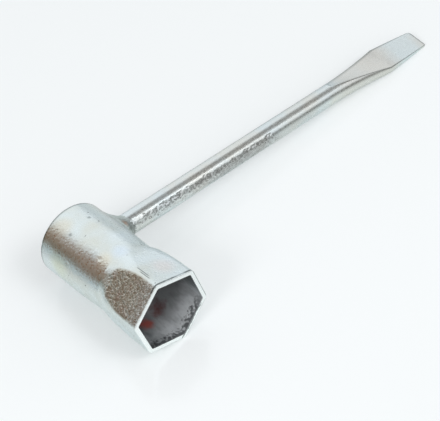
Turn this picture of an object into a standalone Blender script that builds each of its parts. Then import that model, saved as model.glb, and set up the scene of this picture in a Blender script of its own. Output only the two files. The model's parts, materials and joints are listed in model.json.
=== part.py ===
"""Spark plug wrench: a tube socket with a hexagon mouth, welded to a bar whose far end is a screwdriver blade.

Metres, +Z up. Each piece is built in the tool's own square frame, which an empty then lays down at rest on z = 0.
In that square frame the bar runs along +X, the socket's axis is Y with the mouth towards -Y, and the two axes
cross at the origin.
"""

import math

import bmesh
import bpy
from mathutils import Matrix, Vector

MM = 0.001

# Socket: one length of steel tube, its mouth end pressed to a hexagon
ACROSS_FLATS = 21.0 * MM  # inside the hexagon, for a plug of 20.8 mm
INNER_CORNER = 0.5 * MM  # radius inside the hexagon's corners
WALL = 1.5 * MM
TUBE_OUTER = 24.1 * MM  # across the round rear end
WAIST_OUTER = 23.3 * MM  # across the neck behind the hexagon
SOCKET_LENGTH = 47.0 * MM
HEX_DEPTH = 5.0 * MM  # from the mouth, with full corners
CORNER_RUNOUT = 14.5 * MM  # over which the corners fade into the waist
FLAT_DIP = 4.6 * MM  # over which the flats sink to the waist
WAIST_RISE = 12.0 * MM  # over which the waist swells to the round rear end
HEX_TURN = math.radians(14.0)  # from the bar's direction down to the nearest corner

# Handle bar: one round bar, forged flat at its end
BAR_DIAMETER = 7.4 * MM
BAR_REACH = 153.0 * MM  # from the socket's axis to the blade's tip
BAR_FROM_REAR = 8.0 * MM  # from the socket's rear rim to the bar's axis
BAR_INSET = 0.5 * MM  # how far the bar's end stands inside the bore
BLADE_LENGTH = 46.0 * MM  # from the tip to where the flats start
TIP_LENGTH = 20.0 * MM  # from the tip to the blade's widest place
BLADE_WIDTH = 10.6 * MM  # across the flats at the widest place
BLADE_THICKNESS = 3.0 * MM  # at the widest place
TIP_WIDTH = 8.2 * MM
TIP_THICKNESS = 1.0 * MM
TIP_CORNER = 0.8 * MM  # taken off the tip's two corners
TIP_DROP = 0.5 * MM  # of the tip's middle below the bar's axis
DIE_BITE = 0.15 * MM  # step where the forging die first bites
DIE_EDGE = 0.6 * MM  # length of that step
BLADE_TWIST_START = math.radians(-6.0)  # roll about the bar where the flats start
BLADE_TWIST = math.radians(14.0)  # roll at the widest place and the tip

# Weld: a fillet all round the bar where it enters the tube, fuller towards the mouth
WELD_LEG = 3.8 * MM  # out along the tube
WELD_RISE = 3.4 * MM  # up along the bar
WELD_LEAN = 0.5 * MM  # more of both at the mouth side and less at the rear
WELD_TOE = 0.4 * MM  # thickness of the fillet's two edges
WELD_FULLNESS = 1.35  # 1 is a face hollowed to a quarter round, 2 a flat one

CLEARANCE = 0.3 * MM  # between solids that touch on the real tool

# Points that a section and a run of sections need
FLAT_ANGLES = [math.radians(a) for a in (0.0, 6.0, 12.0, 18.0, 24.0, 27.0, 28.8)]
HALF_SECTOR = math.radians(30.0)
RUNOUT_STEPS = 10
RISE_STEPS = 6
ROUND_LEAN = math.radians(80.0)  # half the arc that is sampled as a side of the round bar
SIDE_STEPS = 12
FACE_STEPS = 4
BLADE_STEPS = 8
WELD_STEPS = 48
FILLET_STEPS = 5
HOLE_SIDES = 48
SETTLE_ROUNDS = 6

BAR_RADIUS = BAR_DIAMETER / 2
BAR_DEPTH = SOCKET_LENGTH - BAR_FROM_REAR  # of the bar's axis behind the mouth
WAIST_DEPTH = HEX_DEPTH + CORNER_RUNOUT


def clear_scene():
    for old in list(bpy.data.objects):
        bpy.data.objects.remove(old)


def new_collection(name):
    collection = bpy.data.collections.new(name)
    bpy.context.scene.collection.children.link(collection)
    return collection


def metal(name, colour, roughness):
    material = bpy.data.materials.new(name)
    material.use_nodes = True
    shader = material.node_tree.nodes["Principled BSDF"]
    shader.inputs["Base Color"].default_value = (*colour, 1.0)
    shader.inputs["Roughness"].default_value = roughness
    shader.inputs["Metallic"].default_value = 1.0
    material.diffuse_color = (*colour, 1.0)
    return material


def loft(name, rings, closed):
    """A solid through rings of points: closed joins the last ring to the first, otherwise both ends are capped."""
    bm = bmesh.new()
    rows = [[bm.verts.new(point) for point in ring] for ring in rings]
    following = rows[1:] + rows[:1] if closed else rows[1:]
    for row, other in zip(rows, following):
        for i in range(len(row)):
            j = (i + 1) % len(row)
            bm.faces.new((row[i], row[j], other[j], other[i]))
    if not closed:
        bm.faces.new(rows[0])
        bm.faces.new(rows[-1])
    bmesh.ops.recalc_face_normals(bm, faces=bm.faces)
    mesh = bpy.data.meshes.new(name)
    bm.to_mesh(mesh)
    bm.free()
    mesh.shade_smooth()
    mesh.set_sharp_from_angle(angle=math.radians(35.0))
    return bpy.data.objects.new(name, mesh)


def between(start, end, share):
    return start + (end - start) * share


def held(value):
    return min(max(value, 0.0), 1.0)


def eased(value):
    value = held(value)
    return value * value * (3.0 - 2.0 * value)


# Socket

def bore_section(depth):
    """Half the distance across the flats and the corner radius of the bore, at a depth behind the mouth."""
    hexagon = ACROSS_FLATS / 2
    waist = WAIST_OUTER / 2 - WALL
    rear = TUBE_OUTER / 2 - WALL
    dip = eased((depth - WAIST_DEPTH + FLAT_DIP) / FLAT_DIP)
    rise = eased((depth - WAIST_DEPTH) / WAIST_RISE)
    flat = hexagon + (waist - hexagon) * dip + (rear - waist) * rise
    runout = held((depth - HEX_DEPTH) / CORNER_RUNOUT)
    return flat, between(INNER_CORNER, flat, runout**2)


def hexagon_radius(angle, flat, corner):
    """Distance from the axis to a hexagon with round corners, at an angle from the middle of one of its flats."""
    inner = (flat - corner) / math.cos(HALF_SECTOR)
    if abs(angle) <= math.atan((flat - corner) * math.tan(HALF_SECTOR) / flat):
        return flat / math.cos(angle)
    off = HALF_SECTOR - abs(angle)
    return inner * math.cos(off) + math.sqrt(max(corner**2 - (inner * math.sin(off)) ** 2, 0.0))


def socket_ring(depth, thickness):
    """Points of the bore, or of the outside where thickness is the wall's, at a depth behind the mouth."""
    flat, corner = (size + thickness for size in bore_section(depth))
    sector = [-HALF_SECTOR] + [-a for a in FLAT_ANGLES[:0:-1]] + FLAT_ANGLES
    ring = []
    for flat_number in range(6):
        middle = HALF_SECTOR * (2 * flat_number + 1) - HEX_TURN
        for angle in sector:
            radius = hexagon_radius(angle, flat, corner)
            turn = middle + angle
            ring.append(Vector((radius * math.cos(turn), depth - BAR_DEPTH, radius * math.sin(turn))))
    return ring


def socket_depths():
    steps = [0.0]
    steps += [HEX_DEPTH + CORNER_RUNOUT * i / RUNOUT_STEPS for i in range(RUNOUT_STEPS + 1)]
    steps += [WAIST_DEPTH + WAIST_RISE * i / RISE_STEPS for i in range(1, RISE_STEPS + 1)]
    return [depth for depth in steps if depth < SOCKET_LENGTH - WALL] + [SOCKET_LENGTH]


def outer_radius(depth):
    return bore_section(depth)[0] + WALL


def make_socket(cutters):
    depths = socket_depths()
    bore = [socket_ring(depth, 0.0) for depth in reversed(depths)]
    outside = [socket_ring(depth, WALL) for depth in depths]
    socket = loft("socket_tube", bore + outside, closed=True)
    bar_wall = outer_radius(BAR_DEPTH)
    bpy.ops.mesh.primitive_cylinder_add(
        vertices=HOLE_SIDES,
        radius=BAR_RADIUS + CLEARANCE,
        depth=bar_wall,
        location=(bar_wall, 0.0, 0.0),
        rotation=(0.0, math.radians(90.0), 0.0),
    )
    hole = bpy.context.object
    hole.name = "bar_hole"
    hole.hide_render = True
    hole.display_type = "WIRE"
    for collection in hole.users_collection:
        collection.objects.unlink(hole)
    cutters.objects.link(hole)
    cut = socket.modifiers.new("bar_hole", "BOOLEAN")
    cut.operation = "DIFFERENCE"
    cut.solver = "EXACT"
    cut.object = hole
    return socket, hole, outside


# Handle bar

def bar_ring(x, half_width, half_thickness, roll, drop):
    """Points round the bar: its round sides, cut off at half the thickness by the blade's two flats."""
    lean = min(math.asin(min(half_thickness / BAR_RADIUS, 1.0)), ROUND_LEAN)
    half = []
    for i in range(SIDE_STEPS + 1):
        turn = between(-lean, lean, i / SIDE_STEPS)
        half.append((half_width * math.cos(turn), BAR_RADIUS * math.sin(turn)))
    edge = half_width * math.cos(lean)
    for i in range(1, FACE_STEPS):
        across = between(edge, -edge, i / FACE_STEPS)
        crown = BAR_RADIUS * math.sqrt(1.0 - (across / half_width) ** 2)
        half.append((across, min(crown, half_thickness)))
    turned = Matrix.Rotation(roll, 3, "X")
    section = half + [(-y, -z) for y, z in half]
    return [turned @ Vector((x, y, z)) - Vector((0.0, 0.0, drop)) for y, z in section]


def side_width(flat_width, half_thickness):
    """Half width over the blade's round sides, for a width across its flat."""
    return flat_width / 2 / math.sqrt(1.0 - min(half_thickness / BAR_RADIUS, 0.99) ** 2)


def bar_rings():
    bar_end = TUBE_OUTER / 2 - WALL - BAR_INSET
    flats_start = BAR_REACH - BLADE_LENGTH
    widest = BAR_REACH - TIP_LENGTH
    bitten = BAR_RADIUS - DIE_BITE
    shoulder = side_width(BLADE_WIDTH, BLADE_THICKNESS / 2)
    tip = side_width(TIP_WIDTH, TIP_THICKNESS / 2)
    rings = [
        bar_ring(bar_end, BAR_RADIUS, BAR_RADIUS, BLADE_TWIST_START, 0.0),
        bar_ring(flats_start - DIE_EDGE, BAR_RADIUS, BAR_RADIUS, BLADE_TWIST_START, 0.0),
    ]
    for i in range(BLADE_STEPS + 1):
        share = i / BLADE_STEPS
        rings.append(
            bar_ring(
                between(flats_start, widest, share),
                between(BAR_RADIUS, shoulder, share**1.5),
                between(bitten, BLADE_THICKNESS / 2, share),
                between(BLADE_TWIST_START, BLADE_TWIST, share),
                0.0,
            )
        )
    near_tip = 1.0 - TIP_CORNER / TIP_LENGTH
    rings.append(
        bar_ring(
            between(widest, BAR_REACH, near_tip),
            between(shoulder, tip, near_tip),
            between(BLADE_THICKNESS, TIP_THICKNESS, near_tip) / 2,
            BLADE_TWIST,
            TIP_DROP * near_tip,
        )
    )
    rings.append(bar_ring(BAR_REACH, tip - TIP_CORNER, TIP_THICKNESS / 2, BLADE_TWIST, TIP_DROP))
    return rings


# Weld

def weld_profile(turn):
    """The fillet's outline at one angle round the bar, standing on the tube's outside."""
    toward_rear = math.cos(turn)
    leg = WELD_LEG - WELD_LEAN * toward_rear
    rise = WELD_RISE - WELD_LEAN * toward_rear
    root = BAR_RADIUS + CLEARANCE
    foot = root + leg
    outline = [(foot, CLEARANCE), ((root + foot) / 2, CLEARANCE), (root, CLEARANCE), (root, rise)]
    for i in range(FILLET_STEPS + 1):
        sweep = math.radians(90.0) * i / FILLET_STEPS
        out = foot - (leg - WELD_TOE) * math.cos(sweep) ** WELD_FULLNESS
        height = rise - (rise - CLEARANCE - WELD_TOE) * math.sin(sweep) ** WELD_FULLNESS
        outline.append((out, height))
    points = []
    for out, height in outline:
        y = out * toward_rear
        z = out * math.sin(turn)
        tube = outer_radius(min(BAR_DEPTH + y, SOCKET_LENGTH))
        points.append(Vector((math.sqrt(max(tube**2 - z**2, 0.0)) + height, y, z)))
    return points


# Rest on the plane z = 0

def rest_matrix(feet, points):
    """Lays the tool on the lowest point of each foot, with the bar along +X and the box's bottom centre at 0."""
    up = Vector((0.0, 0.0, 1.0))
    for _ in range(SETTLE_ROUNDS):
        low = [min(foot, key=up.dot) for foot in feet]
        up = (low[1] - low[0]).cross(low[2] - low[0]).normalized()
        if up.z < 0.0:
            up.negate()
    bar = Vector((1.0, 0.0, 0.0))
    along = (bar - up * bar.dot(up)).normalized()
    turn = Matrix((along, up.cross(along), up))
    laid = [turn @ point for point in points]
    low_corner = Vector(min(point[i] for point in laid) for i in range(3))
    high_corner = Vector(max(point[i] for point in laid) for i in range(3))
    origin = (low_corner + high_corner) / 2
    origin.z = low_corner.z
    return Matrix.Translation(-origin) @ turn.to_4x4()


clear_scene()
parts = new_collection("spark_plug_wrench")
cutters = new_collection("cutters")

socket_tube, bar_hole, socket_outside = make_socket(cutters)
bar_points = bar_rings()
handle_bar = loft("handle_bar", bar_points, closed=False)
turns = [math.radians(360.0) * i / WELD_STEPS for i in range(WELD_STEPS)]
weld_bead = loft("weld_bead", [weld_profile(turn) for turn in turns], closed=True)

rest = bpy.data.objects.new("rest", None)
parts.objects.link(rest)
every_point = [point for ring in socket_outside + bar_points for point in ring]
rest.matrix_world = rest_matrix([socket_outside[0], socket_outside[-1], bar_points[-1]], every_point)

finishes = {
    socket_tube: metal("zinc_plated_tube", (0.66, 0.70, 0.71), 0.30),
    handle_bar: metal("zinc_plated_bar", (0.62, 0.64, 0.64), 0.34),
    weld_bead: metal("plated_weld", (0.52, 0.54, 0.52), 0.40),
}
for piece, finish in finishes.items():
    piece.data.materials.append(finish)
    parts.objects.link(piece)
    piece.parent = rest
bar_hole.parent = rest
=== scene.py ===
"""A spark plug wrench of zinc-plated steel: its tube socket, its handle bar and the weld between them."""

import json
import math

import bpy
from mathutils import Matrix, Quaternion, Vector


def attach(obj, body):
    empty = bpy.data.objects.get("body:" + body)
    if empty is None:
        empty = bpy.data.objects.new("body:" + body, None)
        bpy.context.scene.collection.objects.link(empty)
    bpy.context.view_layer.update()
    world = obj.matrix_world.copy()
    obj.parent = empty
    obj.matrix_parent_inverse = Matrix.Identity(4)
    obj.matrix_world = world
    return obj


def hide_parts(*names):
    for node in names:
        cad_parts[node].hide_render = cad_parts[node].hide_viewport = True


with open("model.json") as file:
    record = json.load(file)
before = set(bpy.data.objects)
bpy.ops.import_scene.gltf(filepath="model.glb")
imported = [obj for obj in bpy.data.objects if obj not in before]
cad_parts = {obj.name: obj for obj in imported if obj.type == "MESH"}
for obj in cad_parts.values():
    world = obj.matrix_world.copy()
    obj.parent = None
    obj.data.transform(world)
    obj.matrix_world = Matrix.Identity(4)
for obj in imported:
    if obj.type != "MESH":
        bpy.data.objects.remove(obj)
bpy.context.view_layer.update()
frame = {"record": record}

# How the tool lies. Every piece is shaped in the tool's own square frame: the bar runs along +X, the socket's
# axis along +Y from its mouth, and the two cross at the origin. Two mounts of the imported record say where
# that frame rests: one on the lowest flat inside the mouth, facing the bore's axis, and one on the rear rim.
MM = 0.001
ACROSS_FLATS = 21.0 * MM  # inside the hexagon, for a plug of 20.8 mm
LOWEST_FLAT = math.radians(76.0)  # from the bar's direction up to where the lowest flat faces
FLAT_MOUNT_DEPTH = 4.5 * MM  # of that mount behind the mouth
BAR_DEPTH = 39.0 * MM  # of the bar's axis behind the mouth

mounts = {mount["name"]: mount for mount in frame["record"]["mounts"]}
facing = Vector(mounts["hexagon_flat"]["axis"]).normalized()
rearward = Vector(mounts["rear_rim"]["axis"]).normalized()
barward = (facing * math.cos(LOWEST_FLAT) + rearward.cross(facing) * math.sin(LOWEST_FLAT)).normalized()
crossing = Vector(mounts["hexagon_flat"]["pos_m"])
crossing += facing * ACROSS_FLATS / 2 + rearward * (BAR_DEPTH - FLAT_MOUNT_DEPTH)
rest = Matrix((barward, rearward, barward.cross(rearward))).transposed().to_4x4()
rest.translation = crossing


# Socket tube. One length of welded steel tube, 24 mm across and 1.5 mm thick, bright zinc plated. Its mouth
# end is pressed over a six-sided punch, which leaves flat sides that sink into a round waist behind them.
# The bar's hole is drilled through one wall near the rear.
SOCKET_LENGTH = 47.0 * MM
TUBE_OUTER = 24.1 * MM
WAIST_OUTER = 23.3 * MM
WALL = 1.5 * MM
BAR_RADIUS = 3.7 * MM
HEX_DEPTH = 5.0 * MM  # with full corners
WAIST_DEPTH = 19.5 * MM  # where the corners have faded and the tube is narrowest
FLAT_DIP = 4.6 * MM  # over which the flats sink to the waist
WAIST_RISE = 12.0 * MM  # over which the waist swells to the round rear end
SECTOR = math.radians(30.0)  # from the middle of a flat to a corner
QUARTER = math.radians(90.0)

# The kinds of node that most shapes and finishes here are made of
MATH = "ShaderNodeMath"
RANGE = "ShaderNodeMapRange"
VECTOR = "ShaderNodeVectorMath"
NOISE = "ShaderNodeTexNoise"
# Places of a Mix node's colour sockets, which share their names with others
MIX_UNDER = 6
MIX_OVER = 7
MIX_RESULT = 2


def add(tree, kind, into=(), **settings):
    """One node with its settings, and its inputs by place or by name: each a value, or what feeds it."""
    node = tree.nodes.new(kind)
    for name, value in settings.items():
        setattr(node, name, value)
    for key, value in into.items() if isinstance(into, dict) else enumerate(into):
        source = value.outputs[0] if isinstance(value, bpy.types.Node) else value
        if isinstance(source, bpy.types.NodeSocket):
            tree.links.new(source, node.inputs[key])
        else:
            node.inputs[key].default_value = source
    return node


def new_finish(name):
    """A new material, its node tree and the inputs of its shader."""
    finish = bpy.data.materials.new(name)
    finish.use_nodes = True
    return finish, finish.node_tree, finish.node_tree.nodes["Principled BSDF"].inputs


def colour(hex_value):
    """Linear colour of an sRGB hex value."""
    shares = [int(hex_value[i:i + 2], 16) / 255 for i in (1, 3, 5)]
    return [s / 12.92 if s <= 0.04045 else ((s + 0.055) / 1.055) ** 2.4 for s in shares] + [1.0]


def laid_over(tree, ground, coats):
    """A ground colour with coats laid over it in turn, each a share and a hex value or what feeds it."""
    tint = colour(ground)
    for share, shade in coats:
        over = colour(shade) if isinstance(shade, str) else shade
        mixed = add(
            tree, "ShaderNodeMix", {"Factor": share, MIX_UNDER: tint, MIX_OVER: over}, data_type="RGBA"
        )
        tint = mixed.outputs[MIX_RESULT]
    return tint


def between(tree, measure, rise, fall):
    """A share that is 1 inside a band of a measure, given where each side of the band is at 0 and at 1."""
    risen = add(tree, RANGE, [measure, *rise, 0.0, 1.0])
    not_fallen = add(tree, RANGE, [measure, *fall, 0.0, 1.0])
    return add(tree, MATH, [risen, not_fallen], operation="MULTIPLY")


def tool_coordinates(tree):
    """A shader's place on the tool, in metres, in the tool's own square frame."""
    here = add(tree, "ShaderNodeTexCoord").outputs["Object"]
    return add(
        tree, "ShaderNodeMapping",
        {"Vector": here, "Location": rest.translation, "Rotation": rest.to_euler()},
        vector_type="TEXTURE",
    )


def depth_behind_mouth(tree, place):
    """How far a place on the tool lies behind the socket's mouth."""
    rear = add(tree, "ShaderNodeSeparateXYZ", [place]).outputs["Y"]
    return add(tree, MATH, [rear, BAR_DEPTH], operation="ADD")


def turned_to(turn):
    """Direction square to the socket's axis, at a turn up from the bar's direction."""
    return Vector((math.cos(turn), 0.0, math.sin(turn)))


def reach_towards(tree, place, turn):
    """How far a place lies from the socket's axis in the direction of a turn."""
    return add(tree, VECTOR, [place, turned_to(turn)], operation="DOT_PRODUCT").outputs["Value"]


def distance_on_socket(tree, place, radius, depth, turn):
    """How far a place is from a spot on the socket: its radius, depth behind the mouth, and turn."""
    spot_there = turned_to(turn) * radius + Vector((0.0, depth - BAR_DEPTH, 0.0))
    return add(tree, VECTOR, [place, spot_there], operation="DISTANCE").outputs["Value"]


# Bright zinc plate on pressed tube: a satin silver that the passivating bath leaves bluish with cream and
# lilac clouds. One flat is painted tan, a painted reflection of the brown it faces; the punch has stretched
# that flat to an orange-peel grain, drawn coarser than it is so that it shows. Dirt kept the bath off in
# specks, and a dark burr edges the cut rim. A painted highlight makes the cut rim near white, and painted
# shade darkens two small dents, the outer rim edge of two flats and the rear rim's edge.
CLOUD_SIZE = 11.0 * MM
GRAIN_SIZE = 0.66 * MM
GRAIN_HEIGHT = 0.34 * MM
GRAIN_ELSEWHERE = 0.2  # its share away from the tan flat
BLOTCH_SIZE = 1.4 * MM  # of the paler patches in the painted tan
RAGGED_SIZE = 2.5 * MM  # of the waves in the tan's reddish patches and in the edges of burr and scoring
SPECK_SPACING = 2.6 * MM
SPECK_SHIFT = 0.9 * MM  # that makes a speck's outline uneven
TUBE_ROUGHNESS = (0.26, 0.36)
NOISE_SPREAD = (0.3, 0.7)  # where nearly all values of a noise lie
INNER_FLAT = ACROSS_FLATS / 2
OUTER_FLAT = INNER_FLAT + WALL
TOP_FLAT = LOWEST_FLAT  # opposite the lowest one, so its outside faces as that one's inside does
TAN_FLAT = math.radians(136.0)  # the flat painted tan, a painted reflection of the brown it faces
SCORED_FLAT = math.radians(-44.0)  # the flat whose cut rim the punch has scored
SCORED_WANDER = 2.5 * MM  # of the scored part's edge across the rim
BURR_DEPTH = 0.5 * MM
STAINS_AND_DENT_SHADES = [  # depth behind the mouth, turn from the bar's direction, radius and colour
    (22.0 * MM, math.radians(119.0), 4.0 * MM, "#e6dfca"),
    (20.0 * MM, math.radians(92.0), 4.0 * MM, "#d9e6f3"),
    (42.0 * MM, math.radians(115.0), 5.0 * MM, "#ded8c6"),
    (6.5 * MM, math.radians(70.0), 5.0 * MM, "#e6dedb"),
    (38.0 * MM, math.radians(170.0), 6.0 * MM, "#dfe5cf"),
    # two small dents, shown only as dark spots of painted shade
    (38.7 * MM, math.radians(79.0), 0.9 * MM, "#6f7878"),
    (37.9 * MM, math.radians(118.0), 0.9 * MM, "#6f7573"),
]
MARK_CORE = 0.2  # share of a mark's radius inside which it is even
MARK_STRENGTH = 0.55
SCRATCHES = [  # along the top flat: how far from its middle, and the depths where each begins and ends
    (5.4 * MM, 4.5 * MM, 10.5 * MM),
    (6.0 * MM, 3.5 * MM, 8.5 * MM),
]
SCRATCH_FADE = 1.0 * MM
SHADED_RIM_EDGES = [  # flats whose outer rim edge gets a line of painted shade: turn from the bar's direction, and how much
    (math.radians(16.0), 0.8),
    (SCORED_FLAT, 0.5),
]

tube_zinc, paint, surface = new_finish("bright_zinc_on_pressed_tube")
surface["Metallic"].default_value = 1.0
place = tool_coordinates(paint)
depth = depth_behind_mouth(paint, place)
clouds = add(paint, NOISE, {"Vector": place, "Scale": 1 / CLOUD_SIZE, "Detail": 2.0})
coats = [
    (add(paint, RANGE, [clouds, 0.30, 0.50, 0.0, 1.0]), "#dde5e5"),
    (add(paint, RANGE, [clouds, 0.50, 0.72, 0.0, 1.0]), "#e3edf1"),
]

# The tan on this flat is a painted reflection of the brown it faces: patchy, reddish in places, paler near
# the mouth
to_tan = reach_towards(paint, place, TAN_FLAT)
on_tan = add(paint, RANGE, [to_tan, OUTER_FLAT - 0.3 * MM, OUTER_FLAT - 0.1 * MM, 0.0, 1.0])
pressed_end = add(paint, RANGE, [depth, WAIST_DEPTH - 1.5 * MM, WAIST_DEPTH - FLAT_DIP, 0.0, 1.0])
on_tan = add(paint, MATH, [on_tan, pressed_end], operation="MULTIPLY")
grain = add(paint, NOISE, {"Vector": place, "Scale": 1 / GRAIN_SIZE, "Detail": 1.0})
rough = add(paint, RANGE, [grain, *NOISE_SPREAD, *TUBE_ROUGHNESS])
stretched = add(paint, RANGE, [on_tan, 0.0, 1.0, GRAIN_ELSEWHERE, 1.0])
grain_height = add(paint, MATH, [grain, stretched], operation="MULTIPLY")
peel = add(paint, "ShaderNodeBump", {"Strength": 1.0, "Distance": GRAIN_HEIGHT, "Height": grain_height})
blotches = add(paint, NOISE, {"Vector": place, "Scale": 1 / BLOTCH_SIZE, "Detail": 3.0})
tan_patches = add(paint, RANGE, [blotches, 0.35, 0.65, 0.70, 1.0])
tan_reflection = add(paint, MATH, [on_tan, tan_patches], operation="MULTIPLY")
ragged = add(paint, NOISE, {"Vector": place, "Scale": 1 / RAGGED_SIZE, "Detail": 2.0})
reddish = add(paint, RANGE, [ragged, 0.50, 0.66, 0.0, 0.5])
paler_near_mouth = add(paint, RANGE, [depth, 7.0 * MM, 0.8 * MM, 0.0, 0.8])
tan = laid_over(paint, "#b0ab9d", [(reddish, "#a98f85"), (paler_near_mouth, "#bec1c0")])
coats.append((tan_reflection, tan))

for mark_depth, mark_turn, mark_size, shade in STAINS_AND_DENT_SHADES:
    off_mark = distance_on_socket(paint, place, TUBE_OUTER / 2, mark_depth, mark_turn)
    mark = add(
        paint, RANGE, [off_mark, mark_size, MARK_CORE * mark_size, 0.0, MARK_STRENGTH],
        interpolation_type="SMOOTHSTEP",
    )
    coats.append((mark, shade))

shifted = add(paint, VECTOR, [grain.outputs["Color"], [SPECK_SHIFT] * 3, place], operation="MULTIPLY_ADD")
dirt = add(paint, "ShaderNodeTexVoronoi", {"Vector": shifted, "Scale": 1 / SPECK_SPACING}).outputs
speck = add(paint, RANGE, [dirt["Distance"], 0.15, 0.06, 0.0, 0.75])
chosen = add(paint, RANGE, [dirt["Color"], 0.64, 0.68, 0.0, 1.0])
coats.append((add(paint, MATH, [speck, chosen], operation="MULTIPLY"), "#5f6563"))

on_top = add(paint, RANGE, [reach_towards(paint, place, TOP_FLAT), 9.0 * MM, 10.0 * MM, 0.0, 1.0])
off_burr = add(paint, MATH, [depth, BURR_DEPTH], operation="SUBTRACT")
off_burr = add(paint, MATH, [off_burr], operation="ABSOLUTE")
burr = add(paint, RANGE, [off_burr, 0.36 * MM, 0.16 * MM, 0.0, 1.0])
broken = add(paint, RANGE, [ragged, 0.32, 0.48, 0.45, 0.9])
burr = add(paint, MATH, [burr, broken], operation="MULTIPLY")
coats.append((add(paint, MATH, [burr, on_top], operation="MULTIPLY"), "#5b605f"))
# A dark line along the rear rim's edge: a burr, deepened by painted shade
rear_burr_and_shade = add(paint, RANGE, [depth, SOCKET_LENGTH - 0.9 * MM, SOCKET_LENGTH - 0.3 * MM, 0.0, 0.75])
coats.append((rear_burr_and_shade, "#6d7574"))

across_top = reach_towards(paint, place, TOP_FLAT + QUARTER)
for scratch_across, scratch_from, scratch_to in SCRATCHES:
    off_line = add(paint, MATH, [across_top, scratch_across], operation="SUBTRACT")
    off_line = add(paint, MATH, [off_line], operation="ABSOLUTE")
    line = add(paint, RANGE, [off_line, 0.22 * MM, 0.10 * MM, 0.0, 0.8])
    along_line = between(
        paint, depth, (scratch_from, scratch_from + SCRATCH_FADE), (scratch_to, scratch_to - SCRATCH_FADE)
    )
    line = add(paint, MATH, [line, along_line], operation="MULTIPLY")
    coats.append((add(paint, MATH, [line, on_top], operation="MULTIPLY"), "#6f7676"))

# The cut face at the mouth is painted near white, a painted highlight on the bare steel
cut_face_highlight = add(paint, RANGE, [depth, 0.12 * MM, 0.06 * MM, 0.0, 1.0])
coats.append((cut_face_highlight, "#fbffff"))
to_scored = reach_towards(paint, place, SCORED_FLAT)
bitten = add(paint, MATH, [ragged, -SCORED_WANDER, to_scored], operation="MULTIPLY_ADD")
bitten = add(paint, RANGE, [bitten, INNER_FLAT - 0.7 * MM, INNER_FLAT - 1.0 * MM, 0.0, 0.75])
on_rim = add(paint, RANGE, [to_scored, INNER_FLAT - 0.3 * MM, INNER_FLAT - 0.1 * MM, 0.0, 1.0])
at_front = add(paint, RANGE, [depth, 0.5 * MM, 0.3 * MM, 0.0, 1.0])
along_flat = reach_towards(paint, place, SCORED_FLAT + QUARTER)
short_of_corner = add(paint, RANGE, [along_flat, 5.0 * MM, 3.2 * MM, 0.0, 1.0])
for limit in (short_of_corner, on_rim, at_front):
    bitten = add(paint, MATH, [bitten, limit], operation="MULTIPLY")
coats.append((bitten, "#4a5052"))
# Painted shade along the outer rim edge of those flats
for shaded_flat, edge_shade in SHADED_RIM_EDGES:
    to_flat = reach_towards(paint, place, shaded_flat)
    rim_edge = add(paint, RANGE, [to_flat, OUTER_FLAT - 0.42 * MM, OUTER_FLAT - 0.2 * MM, 0.0, edge_shade])
    coats.append((add(paint, MATH, [rim_edge, at_front], operation="MULTIPLY"), "#87908e"))
paint.links.new(laid_over(paint, "#d8dbd4", coats), surface["Base Color"])
paint.links.new(rough.outputs[0], surface["Roughness"])
paint.links.new(peel.outputs[0], surface["Normal"])

# Thin zinc in the bore: the plating bath hardly reaches inside a tube, so the steel there is a dull mottled
# grey that scatters what light falls in, streaked lengthways as the punch went in. Painted shade darkens it
# further back, on its upper side and, warm-toned, inside the tan flat; painted light makes it palest on one
# side. The punch has scored it dark along the lower rim, and water has left rust.
LIT_SIDE = math.radians(-55.0)  # where painted light makes the bore palest, turned from the bar's direction
SHADED_SIDE = math.radians(62.0)  # where it is darkest
SCORED_SIDE = math.radians(-80.0)
MOTTLE_SIZE = 2.2 * MM
STREAK_WIDTH = 1.5 * MM
STREAK_LENGTH = 4.0 * MM
SCORE_WIDTH = 0.95 * MM
SCORE_REACH = 3.2 * MM  # of the deepest scores behind the mouth
RUST_SPOTS = [  # depth behind the mouth, turn from the bar's direction, size and colour
    (10.2 * MM, math.radians(-104.0), 2.2 * MM, "#b4564a"),
    (12.8 * MM, math.radians(-69.0), 2.6 * MM, "#784846"),
]

bore_zinc, paint, surface = new_finish("thin_dull_zinc_in_bore")
surface["Metallic"].default_value = 0.4
surface["Roughness"].default_value = 0.5
place = tool_coordinates(paint)
depth = depth_behind_mouth(paint, place)
mottle = add(paint, NOISE, {"Vector": place, "Scale": 1 / MOTTLE_SIZE, "Detail": 4.0})
to_lit = reach_towards(paint, place, LIT_SIDE)
streak_scale = (1 / STREAK_WIDTH, 1 / STREAK_LENGTH, 1 / STREAK_WIDTH)
drawn_out = add(paint, VECTOR, [place, streak_scale], operation="MULTIPLY")
streaks = add(paint, NOISE, {"Vector": drawn_out, "Scale": 1.0, "Detail": 3.0})
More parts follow.
